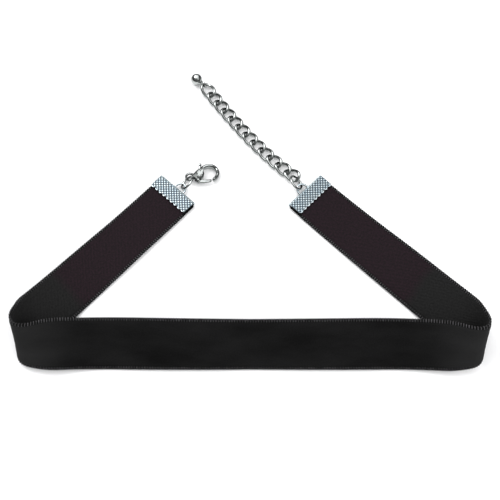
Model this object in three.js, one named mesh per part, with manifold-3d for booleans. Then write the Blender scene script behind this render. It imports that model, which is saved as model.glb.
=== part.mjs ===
// A velvet choker lying open on a table: one flat ribbon with two soft folds, a folded metal
// clamp on each end, a lobster clasp on the left and an extender chain with a ball on the right.
// Millimetres, +Z up, +X to the right, +Y away from the front of the ribbon towards the clasp.

import * as THREE from 'three';
import Module from 'manifold-3d';
import { mergeVertices } from 'three/addons/utils/BufferGeometryUtils.js';

// ---------------------------------------------------------------- driving dimensions

const RIBBON = {
  width: 16.7,
  thickness: 1.2,
  selvedgeWidth: 1.0, // woven edge, thinner than the pile
  selvedgeThickness: 0.7,
  frontLean: 35, // degrees from the table, at the middle of the front
  frontEdgeHeight: 0.5, // middle of the cloth at the front's lower edge
  tableGap: 0.25, // least height of the middle of the cloth above the table
  blend: 6, // length over which one stretch's bending passes into the next
  pinchedThickness: 0.6, // squeezed inside a clamp
  pinchLength: 4.8,
  pinchTaper: 1.6,
};

// Each side of the ribbon, from the middle of the front to the clamp: the length of a stretch,
// how far it turns inwards about its own width, and how far it twists about its own length.
const LEFT_STRETCHES = [
  { name: 'front', length: 39, turn: 4, twist: -10 },
  { name: 'front end', length: 25, turn: -21, twist: 3 },
  { name: 'into the fold', length: 8, turn: -1, twist: 28 },
  { name: 'fold', length: 8, turn: 154, twist: 26 },
  { name: 'out of the fold', length: 8, turn: -16, twist: 45 },
  { name: 'arm near the fold', length: 16, turn: 17, twist: 8 },
  { name: 'arm', length: 24, turn: 0, twist: 12 },
  { name: 'arm at the clamp', length: 24.5, turn: 2, twist: 1 },
];
const RIGHT_STRETCHES = [
  { name: 'front', length: 38.5, turn: 2, twist: -7 },
  { name: 'front end', length: 25, turn: -20, twist: 8 },
  { name: 'into the fold', length: 8, turn: 2, twist: 23 },
  { name: 'fold', length: 8, turn: 159, twist: 24 },
  { name: 'out of the fold', length: 8, turn: -22, twist: 41 },
  { name: 'arm near the fold', length: 16, turn: 18, twist: 6 },
  { name: 'arm', length: 24, turn: -2, twist: 13 },
  { name: 'arm at the clamp', length: 29, turn: 6, twist: 7 },
];

const CLAMP = {
  length: 16, // across the ribbon
  depth: 5.8, // from the folded edge to the toothed mouth
  height: 1.9,
  sheet: 0.4,
  offset: 0.3, // the ribbon stands out a little at the inner side
  teeth: 9,
  toothDepth: 0.5,
  ribbonGap: 1.3, // from the ribbon's end to the outside of the folded edge
};
const BAIL = { wire: 0.7, halfWidth: 2.0, reach: 2.5, rootHeight: 1.05, rise: 0.45 };

const JUMP_RING = { wire: 0.8, diameter: 6.0 };

const LINK = { count: 12, wire: 1.1, length: 6.7, width: 5.2, rise: 0.64, pitch: 4.25 };
const CHAIN = {
  farHeading: 125.8, // degrees from +X, at the ball's end
  nearSwing: 14, // how much further the clamp's end is turned
  height: 1.2,
  first: { lift: 0.37, pitch: -9.8 }, // tipped up by the jump ring
  last: { lift: 0.25, pitch: 6 }, // tipped up by the ball's eye
};

const BALL = { diameter: 4.1, collar: 0.82, collarLength: 0.35, eyeWire: 0.6, eyeRadius: 1.15, swing: 15 };

// The clasp's own frame: x from the eye to the nose, y towards the thumb tab, z up.
const CLASP = {
  height: 2.2,
  bevel: 0.35,
  eyeRadius: 1.3,
  eyeWire: 0.84,
  nose: { x: 7.0, y: 0.25, outer: 3.65, inner: 2.3 },
  pivot: { x: 2.7, y: -2.0, pin: 0.35, hole: 0.55, boss: 0.9, cover: 1.0 },
  slotHeight: 1.3,
  slotRadius: 1.25,
};
const LEVER = {
  height: 0.8,
  gateInner: -0.3, // from the pivot's level
  gateOuter: -1.3,
  gateReach: 4.72,
  tabAngle: 74,
  tabReach: 6.25,
  tabWidth: 0.8,
  knobRadius: 0.5,
  knobHeight: 1.6,
  swing: 22,
};

const DEGREE = Math.PI / 180;
const UP = new THREE.Vector3(0, 0, 1);

const wasm = await Module();
wasm.setup();

// ---------------------------------------------------------------- materials

const velvet = () => new THREE.MeshStandardMaterial({ color: 0x1b1a1c, roughness: 0.95, metalness: 0 });
const silver = () => new THREE.MeshStandardMaterial({ color: 0xc8ccce, roughness: 0.22, metalness: 1 });
const knurled = () => new THREE.MeshStandardMaterial({ color: 0xb9c2c8, roughness: 0.38, metalness: 1 });

// ---------------------------------------------------------------- solids and joins

/** A closed three.js geometry as a solid that can be cut and joined. */
function solid(geometry) {
  const bare = new THREE.BufferGeometry();
  bare.setAttribute('position', geometry.getAttribute('position'));
  if (geometry.index) bare.setIndex(geometry.index);
  const merged = mergeVertices(bare, 1e-4);
  return new wasm.Manifold(new wasm.Mesh({
    numProp: 3,
    vertProperties: Float32Array.from(merged.getAttribute('position').array),
    triVerts: Uint32Array.from(merged.index.array),
  }));
}

/** A solid's vertices and triangles as a three.js geometry. */
function geometryOf(body) {
  const mesh = body.getMesh();
  const geometry = new THREE.BufferGeometry();
  geometry.setAttribute('position', new THREE.BufferAttribute(Float32Array.from(mesh.vertProperties), 3));
  geometry.setIndex(new THREE.BufferAttribute(Uint32Array.from(mesh.triVerts), 1));
  geometry.computeVertexNormals();
  return geometry;
}

/** A flat outline given height, centred on the plane z = 0. */
function slab(shape, height, curveSegments = 8) {
  const geometry = new THREE.ExtrudeGeometry(shape, { depth: height, bevelEnabled: false, curveSegments });
  return geometry.translate(0, 0, -height / 2);
}

/** A round disc or pin about the vertical through (x, y), centred on z = 0. */
function pin(x, y, radius, height, sides = 14) {
  const geometry = new THREE.CylinderGeometry(radius, radius, height, sides);
  return geometry.rotateX(Math.PI / 2).translate(x, y, 0);
}

// ---------------------------------------------------------------- ribbon

/** The angle built up by an arc length when each stretch's share is spread evenly along it. */
function builtUp(stretches, quantity, at) {
  let start = 0;
  let sum = 0;
  for (const stretch of stretches) {
    const share = THREE.MathUtils.clamp((at - start) / stretch.length, 0, 1);
    sum += stretch[quantity] * share;
    start += stretch.length;
  }
  return sum;
}

/** Bending rate in radians per millimetre, averaged over the blend length. */
function rate(stretches, quantity, at) {
  const reach = RIBBON.blend / 2;
  const change = builtUp(stretches, quantity, at + reach) - builtUp(stretches, quantity, at - reach);
  return (change * DEGREE) / RIBBON.blend;
}

/** The frame at the middle of the front: along the ribbon, across it to the upper edge, out. */
function frontFrame(side) {
  const lean = RIBBON.frontLean * DEGREE;
  const along = new THREE.Vector3(side, 0, 0);
  const across = new THREE.Vector3(0, Math.cos(lean), Math.sin(lean));
  const point = across.clone().multiplyScalar(RIBBON.width / 2);
  point.z += RIBBON.frontEdgeHeight;
  return { point, along, across };
}

/** Walks one side of the ribbon, keeping a station wherever it has bent or run on enough. */
function stationsOf(stretches, side) {
  const steps = 480;
  const keepTurn = 8 * DEGREE;
  const keepLength = 4.5;
  const total = stretches.reduce((sum, stretch) => sum + stretch.length, 0);
  const step = total / steps;
  const { point, along, across } = frontFrame(side);
  const stations = [];
  let bent = 0;
  let run = 0;
  const keep = (at) => {
    const rest = point.clone();
    rest.z = Math.max(rest.z, (RIBBON.width / 2) * Math.abs(across.z) + RIBBON.tableGap);
    stations.push({ point: rest, along: along.clone(), across: across.clone(), toEnd: total - at });
    bent = 0;
    run = 0;
  };
  keep(0);
  for (let i = 0; i < steps; i += 1) {
    const at = (i + 0.5) * step;
    const turn = across.clone().multiplyScalar(side * rate(stretches, 'turn', at));
    const spin = turn.add(along.clone().multiplyScalar(side * rate(stretches, 'twist', at)));
    const angle = spin.length() * step;
    const before = along.clone();
    if (angle > 0) {
      spin.normalize();
      along.applyAxisAngle(spin, angle);
      across.applyAxisAngle(spin, angle);
    }
    point.addScaledVector(before.add(along), step / 2);
    bent += angle;
    run += step;
    const nearEnd = total - at < RIBBON.pinchLength + RIBBON.pinchTaper + 1;
    const longEnough = run >= (nearEnd ? 1 : keepLength);
    if (bent >= keepTurn || longEnough || i === steps - 1) keep(at + step / 2);
  }
  return stations;
}

/** Half the ribbon's thickness at a place across it, squeezed near the ribbon's ends. */
function halfThickness(profileHalf, toEnd) {
  const open = THREE.MathUtils.clamp((toEnd - RIBBON.pinchLength) / RIBBON.pinchTaper, 0, 1);
  const limit = THREE.MathUtils.lerp(RIBBON.pinchedThickness, RIBBON.thickness, open) / 2;
  return Math.min(profileHalf, limit);
}

/** The ribbon's section: places across the width and half the thickness there. */
function sectionColumns() {
  const edge = RIBBON.width / 2;
  const pile = edge - RIBBON.selvedgeWidth;
  const step = 0.25;
  const thin = RIBBON.selvedgeThickness / 2;
  const half = [
    { across: edge, half: thin * 0.6 },
    { across: edge - step, half: thin },
    { across: pile, half: thin },
    { across: pile - step, half: RIBBON.thickness / 2 },
  ];
  const mirrored = half.map((column) => ({ across: -column.across, half: column.half }));
  return [...mirrored, { across: 0, half: RIBBON.thickness / 2 }, ...half.reverse()];
}

/** One closed skin over the stations: the pile side's columns, then the back's, with flat ends. */
function ribbonGeometry(stations) {
  const columns = sectionColumns();
  const ring = columns.length * 2;
  const positions = [];
  for (const station of stations) {
    const out = new THREE.Vector3().crossVectors(station.along, station.across);
    const place = (column, sign) => {
      const lift = sign * halfThickness(column.half, station.toEnd);
      const corner = station.point.clone().addScaledVector(station.across, column.across);
      return corner.addScaledVector(out, lift);
    };
    columns.forEach((column) => positions.push(...place(column, 1).toArray()));
    [...columns].reverse().forEach((column) => positions.push(...place(column, -1).toArray()));
  }
  const triangles = [];
  const quad = (a, b, c, d) => triangles.push(a, b, c, a, c, d);
  for (let i = 0; i < stations.length - 1; i += 1) {
    for (let j = 0; j < ring; j += 1) {
      const next = (j + 1) % ring;
      quad(i * ring + j, (i + 1) * ring + j, (i + 1) * ring + next, i * ring + next);
    }
  }
  const last = (stations.length - 1) * ring;
  for (let j = 0; j < columns.length - 1; j += 1) {
    const under = ring - 1 - j;
    quad(j, j + 1, under - 1, under);
    quad(last + j, last + under, last + under - 1, last + j + 1);
  }
  const geometry = new THREE.BufferGeometry();
  geometry.setAttribute('position', new THREE.Float32BufferAttribute(positions, 3));
  geometry.setIndex(triangles);
  geometry.computeVertexNormals();
  return geometry;
}

/** The left side's stations turned to run the same way as the right side's. */
function reversed(stations) {
  return stations.map((station) => ({ ...station, along: station.along.clone().negate() })).reverse();
}

// ---------------------------------------------------------------- clamps

/** The wire bail: an arch standing out of the middle of the clamp's folded edge. */
class BailCurve extends THREE.Curve {
  getPoint(t) {
    const angle = Math.PI * t;
    const rise = Math.sin(angle);
    const root = -0.25;
    return new THREE.Vector3(
      BAIL.halfWidth * Math.cos(angle),
      root + (BAIL.reach - root) * rise,
      BAIL.rootHeight + BAIL.rise * rise,
    );
  }
}

/**
 * A clamp in its own frame: x across the ribbon, y out of the ribbon's end, z up, base at 0. The
 * ribbon stands out a little at the side named by inner, +1 or -1 along x.
 */
function clampGeometry(inner) {
  const radius = CLAMP.height / 2;
  const top = CLAMP.height - CLAMP.sheet;
  const section = new THREE.Shape();
  section.moveTo(-CLAMP.depth, 0);
  section.lineTo(-radius, 0);
  section.absarc(-radius, radius, radius, -Math.PI / 2, Math.PI / 2, false);
  section.lineTo(-CLAMP.depth, CLAMP.height);
  section.lineTo(-CLAMP.depth, top);
  section.lineTo(-radius, top);
  section.absarc(-radius, radius, radius - CLAMP.sheet, Math.PI / 2, -Math.PI / 2, true);
  section.lineTo(-CLAMP.depth, CLAMP.sheet);
  section.closePath();
  const upright = new THREE.Matrix4().makeBasis(
    new THREE.Vector3(0, 1, 0),
    new THREE.Vector3(0, 0, 1),
    new THREE.Vector3(1, 0, 0),
  );
  const shift = -inner * CLAMP.offset;
  const folded = slab(section, CLAMP.length, 7).applyMatrix4(upright).translate(shift, 0, 0);
  let body = solid(folded);
  const pitch = CLAMP.length / CLAMP.teeth;
  for (let i = 0; i <= CLAMP.teeth; i += 1) {
    const middle = shift - CLAMP.length / 2 + i * pitch;
    const notch = new THREE.Shape([
      new THREE.Vector2(middle - pitch * 0.45, -CLAMP.depth - 0.1),
      new THREE.Vector2(middle + pitch * 0.45, -CLAMP.depth - 0.1),
      new THREE.Vector2(middle, -CLAMP.depth + CLAMP.toothDepth),
    ]);
    body = body.subtract(solid(slab(notch, CLAMP.height + 1).translate(0, 0, CLAMP.height / 2)));
  }
  return geometryOf(body.add(solid(wireAlong(new BailCurve(), BAIL.wire, 14, 7))));
}

/** Round wire along an open curve, with flat ends. */
function wireAlong(curve, wire, steps, sides) {
  const section = new THREE.Shape();
  section.absarc(0, 0, wire / 2, 0, 2 * Math.PI, false);
  return new THREE.ExtrudeGeometry(section, { extrudePath: curve, steps, curveSegments: sides });
}

/** The frame a clamp lies in: flat on the table at the end of the ribbon. */
function clampPlacement(station) {
  const outward = station.along.clone().setZ(0).normalize();
  const right = new THREE.Vector3().crossVectors(outward, UP).normalize();
  const origin = station.point.clone().addScaledVector(outward, CLAMP.ribbonGap).setZ(0);
  const frame = new THREE.Matrix4().makeBasis(right, outward, UP).setPosition(origin);
  return { origin, outward, right, frame };
}

// ---------------------------------------------------------------- rings and chain

/** A jump ring: a round ring of round wire lying in its own xy plane. */
function jumpRingGeometry() {
  const middle = (JUMP_RING.diameter - JUMP_RING.wire) / 2;
  return new THREE.TorusGeometry(middle, JUMP_RING.wire / 2, 8, 26);
}

/** The middle line of a chain link: an oval that rises and falls twice, so links pass through. */
class LinkCurve extends THREE.Curve {
  getPoint(t) {
    const angle = 2 * Math.PI * t;
    return new THREE.Vector3(
      ((LINK.length - LINK.wire) / 2) * Math.cos(angle),
      ((LINK.width - LINK.wire) / 2) * Math.sin(angle),
      LINK.rise * Math.sin(2 * angle),
    );
  }
}

/** The links' middles and headings, walked from the clamp's end of the chain. */
function chainPlaces(start) {
  const places = [];
  const point = start.clone();
  let before = null;
  for (let i = 0; i < LINK.count; i += 1) {
    const left = 1 - i / (LINK.count - 1);
    const heading = (CHAIN.farHeading + CHAIN.nearSwing * left * left) * DEGREE;
    const direction = new THREE.Vector3(Math.cos(heading), Math.sin(heading), 0);
    if (before) point.addScaledVector(before.clone().add(direction), LINK.pitch / 2);
    places.push({ point: point.clone(), heading, direction, pitch: 0 });
    before = direction;
  }
  for (const [place, tip] of [[places.at(0), CHAIN.first], [places.at(-1), CHAIN.last]]) {
    place.point.z += tip.lift;
    place.pitch = tip.pitch;
  }
  return places;
}

/** The ball drop: a ball with a collar and a wire eye, its axis along +x from ball to eye. */
function ballGeometry() {
  const radius = BALL.diameter / 2;
  const meet = Math.acos(BALL.collar / radius);
  const profile = [];
  const arcSteps = 12;
  for (let i = 0; i <= arcSteps; i += 1) {
    const angle = THREE.MathUtils.lerp(-Math.PI / 2, meet, i / arcSteps);
    profile.push(new THREE.Vector2(i === 0 ? 0 : radius * Math.cos(angle), radius * Math.sin(angle)));
  }
  const collarTop = radius * Math.sin(meet) + BALL.collarLength;
  profile.push(new THREE.Vector2(BALL.collar, collarTop), new THREE.Vector2(0, collarTop));
  const ball = new THREE.LatheGeometry(profile, 18).rotateZ(-Math.PI / 2);
  const eye = new THREE.TorusGeometry(BALL.eyeRadius, BALL.eyeWire / 2, 7, 18);
  eye.rotateX(Math.PI / 2).translate(ballReach(), 0, 0);
  return geometryOf(solid(ball).add(solid(eye)));
}

/** From the ball's middle to the middle of its eye. */
function ballReach() {
  const radius = BALL.diameter / 2;
  const collarTop = Math.sqrt(radius ** 2 - BALL.collar ** 2) + BALL.collarLength;
  return collarTop + BALL.eyeRadius + BALL.eyeWire / 2 - 0.25;
}

// ---------------------------------------------------------------- clasp

/** The clasp's outline seen from above: shoulder, nose, hook tip, throat and pivot cover. */
function claspOutline() {
  const { nose, pivot } = CLASP;
  const onNose = (degrees, radius) => [
    nose.x + radius * Math.cos(degrees * DEGREE),
    nose.y + radius * Math.sin(degrees * DEGREE),
  ];
  const shape = new THREE.Shape();
  shape.moveTo(1.15, 0.85);
  shape.lineTo(1.15, -0.85);
  shape.lineTo(pivot.x - pivot.cover, pivot.y - 0.1);
  shape.absarc(pivot.x, pivot.y, pivot.cover, Math.PI, 2 * Math.PI, false);
  shape.quadraticCurveTo(4.2, -1.3, 5.2, -1.2);
  shape.quadraticCurveTo(4.9, 0.6, ...onNose(130, nose.inner));
  shape.absarc(nose.x, nose.y, nose.inner, 130 * DEGREE, -73 * DEGREE, true);
  shape.lineTo(...onNose(-82, nose.outer));
  shape.absarc(nose.x, nose.y, nose.outer, -82 * DEGREE, 115 * DEGREE, false);
  shape.quadraticCurveTo(3.2, 2.5, 1.15, 0.85);
  return shape;
}

/** The slot the lever turns in: round the pivot, under the gate's swing and under the tab's. */
function claspSlot() {
  const { pivot } = CLASP;
  const reach = 8;
  const wedge = (from, to) => {
    const start = from * DEGREE;
    const shape = new THREE.Shape();
    shape.moveTo(pivot.x, pivot.y);
    shape.lineTo(pivot.x + reach * Math.cos(start), pivot.y + reach * Math.sin(start));
    shape.absarc(pivot.x, pivot.y, reach, start, to * DEGREE, false);
    shape.closePath();
    return solid(slab(shape, CLASP.slotHeight, 4));
  };
  const bar = (angle) => {
    const track = new THREE.BoxGeometry(reach, LEVER.tabWidth + 0.5, CLASP.slotHeight);
    track.translate(reach / 2, 0, 0).rotateZ(angle * DEGREE).translate(pivot.x, pivot.y, 0);
    return solid(track);
  };
  const shut = LEVER.tabAngle;
  const open = LEVER.tabAngle + LEVER.swing;
  const tab = wedge(shut, open).add(bar(shut)).add(bar(open));
  const gate = wedge(-60, LEVER.swing + 4);
  const beforeTip = new THREE.Shape([
    new THREE.Vector2(pivot.x, pivot.y - 3),
    new THREE.Vector2(5.6, pivot.y - 3),
    new THREE.Vector2(5.6, pivot.y + 4),
    new THREE.Vector2(pivot.x, pivot.y + 4),
  ]);
  const throat = gate.intersect(solid(slab(beforeTip, CLASP.height + 1)));
  const round = solid(pin(pivot.x, pivot.y, CLASP.slotRadius, CLASP.slotHeight));
  return round.add(tab).add(throat);
}

/** The clasp's body: eye, hook and lever housing with its pin, one cast piece. */
function claspBodyGeometry() {
  const { pivot } = CLASP;
  const core = CLASP.height - 2 * CLASP.bevel;
  const blank = new THREE.ExtrudeGeometry(claspOutline(), {
    depth: core,
    curveSegments: 9,
    bevelEnabled: true,
    bevelThickness: CLASP.bevel,
    bevelSize: CLASP.bevel,
    bevelOffset: -CLASP.bevel,
    bevelSegments: 1,
  }).translate(0, 0, -core / 2);
  const eye = new THREE.TorusGeometry(CLASP.eyeRadius, CLASP.eyeWire / 2, 8, 18);
  const pivotPin = pin(pivot.x, pivot.y, pivot.pin, CLASP.height - 0.4, 12);
  return geometryOf(solid(blank).subtract(claspSlot()).add(solid(pivotPin)).add(solid(eye)));
}

/** The lever: gate, boss round the pin, arm through the window and thumb knob. */
function claspLeverGeometry() {
  const { pivot } = CLASP;
  const across = LEVER.gateOuter;
  const gate = new THREE.Shape();
  gate.moveTo(pivot.x, pivot.y + across * 0.6);
  gate.lineTo(pivot.x + 1, pivot.y + across);
  const tipStart = Math.asin(LEVER.gateOuter / LEVER.gateReach);
  const tipEnd = Math.asin(LEVER.gateInner / LEVER.gateReach);
  gate.absarc(pivot.x, pivot.y, LEVER.gateReach, tipStart, tipEnd, false);
  gate.lineTo(pivot.x + 0.6, pivot.y + LEVER.gateInner);
  gate.lineTo(pivot.x, pivot.y + 0.6);
  gate.closePath();
  const arm = new THREE.Shape([
    new THREE.Vector2(0, -LEVER.tabWidth / 2),
    new THREE.Vector2(LEVER.tabReach, -LEVER.tabWidth / 2),
    new THREE.Vector2(LEVER.tabReach, LEVER.tabWidth / 2),
    new THREE.Vector2(0, LEVER.tabWidth / 2),
  ]);
  const armSlab = slab(arm, LEVER.height).rotateZ(LEVER.tabAngle * DEGREE).translate(pivot.x, pivot.y, 0);
  const knobX = pivot.x + LEVER.tabReach * Math.cos(LEVER.tabAngle * DEGREE);
  const knobY = pivot.y + LEVER.tabReach * Math.sin(LEVER.tabAngle * DEGREE);
  const body = solid(slab(gate, LEVER.height))
    .add(solid(pin(pivot.x, pivot.y, pivot.boss, LEVER.height)))
    .add(solid(armSlab))
    .add(solid(pin(knobX, knobY, LEVER.knobRadius, LEVER.knobHeight, 12)))
    .subtract(solid(pin(pivot.x, pivot.y, pivot.hole, LEVER.height + 1)));
  return geometryOf(body);
}

// ---------------------------------------------------------------- assembly

/** A named mesh placed by a matrix. */
function piece(name, geometry, material, frame = new THREE.Matrix4()) {
  const mesh = new THREE.Mesh(geometry, material);
  mesh.name = name;
  mesh.applyMatrix4(frame);
  return mesh;
}

/** A frame turned to a heading on the table, pitched up at its far end and rolled about itself. */
function lyingFrame(point, heading, pitch = 0, roll = 0) {
  const turned = new THREE.Matrix4().makeRotationZ(heading);
  turned.multiply(new THREE.Matrix4().makeRotationY(-pitch * DEGREE));
  turned.multiply(new THREE.Matrix4().makeRotationX(roll * DEGREE));
  return turned.setPosition(point);
}

// Where the free hardware lies, seen from each clamp: how far out of the folded edge and how far
// to the right its middle is, its height, and how it is turned, pitched and rolled.
const RING_LIE = {
  left: { out: 3.36, aside: 0.69, height: 2.4, heading: 13.5, pitch: 2.1, roll: -49.7 },
  right: { out: 3.53, aside: -0.08, height: 2.31, heading: -21, pitch: 7.5, roll: 46.1 },
};
const CLASP_LIE = { out: 5.81, aside: -0.43, height: 1.99, heading: 12.4, pitch: -4.7 };
const CHAIN_LIE = { out: 6.95, aside: 1.5 };

/** A point out of a clamp's folded edge and to its right as seen looking outwards. */
function fromClamp(clamp, out, aside, height) {
  const point = clamp.origin.clone().addScaledVector(clamp.outward, out);
  return point.addScaledVector(clamp.right, aside).setZ(height);
}

/** The ring's frame from its lie beside a clamp. */
function ringFrame(clamp, lie) {
  const bearing = Math.atan2(clamp.outward.y, clamp.outward.x) + lie.heading * DEGREE;
  return lyingFrame(fromClamp(clamp, lie.out, lie.aside, lie.height), bearing, lie.pitch, lie.roll);
}

function buildChoker() {
  const table = new THREE.Group();
  const left = stationsOf(LEFT_STRETCHES, -1);
  const right = stationsOf(RIGHT_STRETCHES, 1);
  const stations = [...reversed(left), ...right.slice(1)];
  table.add(piece('ribbon', ribbonGeometry(stations), velvet()));

  const leftClamp = clampPlacement(left.at(-1));
  const rightClamp = clampPlacement(right.at(-1));
  table.add(piece('left_clamp', clampGeometry(1), knurled(), leftClamp.frame));
  table.add(piece('right_clamp', clampGeometry(-1), knurled(), rightClamp.frame));

  table.add(piece('clasp_ring', jumpRingGeometry(), silver(), ringFrame(leftClamp, RING_LIE.left)));
  const claspPoint = fromClamp(leftClamp, CLASP_LIE.out, CLASP_LIE.aside, CLASP_LIE.height);
  const claspFrame = lyingFrame(claspPoint, CLASP_LIE.heading * DEGREE, CLASP_LIE.pitch);
  table.add(piece('clasp_body', claspBodyGeometry(), silver(), claspFrame));
  table.add(piece('clasp_lever', claspLeverGeometry(), silver(), claspFrame));

  table.add(piece('chain_ring', jumpRingGeometry(), silver(), ringFrame(rightClamp, RING_LIE.right)));
  const chainStart = fromClamp(rightClamp, CHAIN_LIE.out, CHAIN_LIE.aside, CHAIN.height);
  const places = chainPlaces(chainStart);
  places.forEach(({ point, heading, pitch }, i) => {
    const geometry = new THREE.TubeGeometry(new LinkCurve(), 22, LINK.wire / 2, 7, true);
    const name = `chain_link_${String(i + 1).padStart(2, '0')}`;
    table.add(piece(name, geometry, silver(), lyingFrame(point, heading, pitch)));
  });

  table.add(piece('end_ball', ballGeometry(), silver(), ballFrame(places.at(-1))));

  const box = new THREE.Box3().setFromObject(table, true);
  const middle = box.getCenter(new THREE.Vector3());
  table.position.set(-middle.x, -middle.y, -box.min.z);
  return table;
}

/** The ball lies on the table with its eye round the last link's end wire. */
function ballFrame(lastLink) {
  const end = (LINK.length - LINK.wire) / 2;
  const eye = lastLink.point.clone().addScaledVector(lastLink.direction, end * Math.cos(lastLink.pitch * DEGREE));
  eye.z += end * Math.sin(lastLink.pitch * DEGREE);
  const bearing = lastLink.heading + BALL.swing * DEGREE;
  const reach = ballReach();
  const radius = BALL.diameter / 2;
  const level = Math.sqrt(reach ** 2 - (radius - eye.z) ** 2);
  const ball = new THREE.Vector3(eye.x + level * Math.cos(bearing), eye.y + level * Math.sin(bearing), radius);
  const axis = eye.clone().sub(ball).normalize();
  const side = new THREE.Vector3().crossVectors(UP, axis).normalize();
  const over = new THREE.Vector3().crossVectors(axis, side);
  return new THREE.Matrix4().makeBasis(axis, side, over).setPosition(ball);
}

export default buildChoker();
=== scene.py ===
"""Looks of a velvet choker that lies open on a table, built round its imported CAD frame.

Sizes are given in millimetres in the dataclasses and turned to metres as each mesh is placed.
X runs to the right along the front band, Y from the front band to the clasp, Z up off the table.
"""

import logging
import math
from dataclasses import dataclass, field
from enum import Enum
from typing import Optional, Sequence

import bmesh
import bpy
import numpy as np
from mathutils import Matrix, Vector

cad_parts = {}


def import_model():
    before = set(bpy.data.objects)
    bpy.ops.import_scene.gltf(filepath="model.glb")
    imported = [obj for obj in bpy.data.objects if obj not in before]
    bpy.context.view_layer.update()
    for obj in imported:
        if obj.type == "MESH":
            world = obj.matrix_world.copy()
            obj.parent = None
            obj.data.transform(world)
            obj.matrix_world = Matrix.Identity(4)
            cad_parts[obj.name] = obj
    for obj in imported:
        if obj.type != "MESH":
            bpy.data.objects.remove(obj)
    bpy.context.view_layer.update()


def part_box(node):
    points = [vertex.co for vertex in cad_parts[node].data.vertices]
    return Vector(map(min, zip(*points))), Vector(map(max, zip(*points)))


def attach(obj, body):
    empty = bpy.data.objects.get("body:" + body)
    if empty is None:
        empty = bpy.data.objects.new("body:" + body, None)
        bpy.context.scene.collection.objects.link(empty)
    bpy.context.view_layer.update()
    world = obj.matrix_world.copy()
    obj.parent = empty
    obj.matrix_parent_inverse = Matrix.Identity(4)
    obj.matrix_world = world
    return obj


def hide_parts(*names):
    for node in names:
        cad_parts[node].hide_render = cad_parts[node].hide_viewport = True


Array = np.ndarray
MM = 0.001
UP = np.array([0.0, 0.0, 1.0])
log = logging.getLogger("choker")


class Side(Enum):
    """Which half of the ribbon, as the sign of X."""

    LEFT = -1
    RIGHT = 1


class Body(Enum):
    """The rigid bodies of the frame."""

    CHOKER = "choker"
    LEVER = "lever"


# ---------------------------------------------------------------- surfaces


@dataclass
class Surface:
    """A piece while it is being worked out: points in mm, polygons, and patterns on its points."""

    points: Array
    faces: list[list[int]]
    uv: Optional[Array] = None
    finish_of_face: Optional[Array] = None
    marks: dict[str, Array] = field(default_factory=dict)

    def placed(self, frame: Array) -> "Surface":
        """The same surface moved by a 4 by 4 frame."""
        moved = self.points @ frame[:3, :3].T + frame[:3, 3]
        return Surface(moved, self.faces, self.uv, self.finish_of_face, self.marks)

    def joined(self, other: "Surface") -> "Surface":
        """This surface and another as one, with patterns kept where both have them."""
        shift = len(self.points)
        faces = self.faces + [[i + shift for i in face] for face in other.faces]
        marks = {}
        for name in set(self.marks) | set(other.marks):
            mine = self.marks.get(name, np.zeros(len(self.points)))
            theirs = other.marks.get(name, np.zeros(len(other.points)))
            marks[name] = np.concatenate([mine, theirs])
        return Surface(np.vstack([self.points, other.points]), faces, marks=marks)


def grid_faces(
    rows: int, columns: int, wrap_rows: bool = False, wrap_columns: bool = False
) -> Array:
    """Quads over a grid of points numbered row by row.

    Args:
        rows: number of rows of points.
        columns: number of points in a row.
        wrap_rows: whether the last row joins the first.
        wrap_columns: whether a row's last point joins its first.

    Returns:
        An array of quads, four point numbers each.
    """
    i, j = np.meshgrid(
        np.arange(rows if wrap_rows else rows - 1),
        np.arange(columns if wrap_columns else columns - 1),
        indexing="ij",
    )
    down, right = (i + 1) % rows, (j + 1) % columns
    corners = [i * columns + j, down * columns + j, down * columns + right, i * columns + right]
    return np.stack(corners, axis=-1).reshape(-1, 4)


def end_caps(rows: int, columns: int) -> list[list[int]]:
    """The first and last rows of a grid as two flat polygons that face opposite ways."""
    last = (rows - 1) * columns
    return [list(range(columns)), list(range(last + columns - 1, last - 1, -1))]


def full_turn(count: int) -> Array:
    """Angles once round in equal steps, in radians, with the first not repeated at the end."""
    return np.linspace(0.0, 2.0 * math.pi, count, endpoint=False)


def on_plane(line: Array) -> Array:
    """A line seen from above, put on the plane z = 0."""
    return np.column_stack([line, np.zeros(len(line))])


def rounded_off(t: Array, start: float, length: float) -> Array:
    """1 up to the start, then a quarter circle down: sqrt(1 - ((t - start) / length)^2)."""
    return np.sqrt(1.0 - np.clip((t - start) / length, 0.0, 1.0) ** 2)


def narrowed(left: Array, right: Array, share: Array) -> tuple[Array, Array]:
    """Two edge lines drawn in about their middle, to a share of their distance apart."""
    middle, half = (left + right) / 2.0, (left - right) / 2.0
    return middle + half * share[:, None], middle - half * share[:, None]


def unit(vectors: Array) -> Array:
    """Each vector divided by its own length."""
    return vectors / np.linalg.norm(vectors, axis=-1, keepdims=True)


def smooth_step(value: Array, low: float, high: float) -> Array:
    """Rises from 0 at low to 1 at high as 3t^2 - 2t^3."""
    t = np.clip((value - low) / (high - low), 0.0, 1.0)
    return t * t * (3.0 - 2.0 * t)


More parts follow.
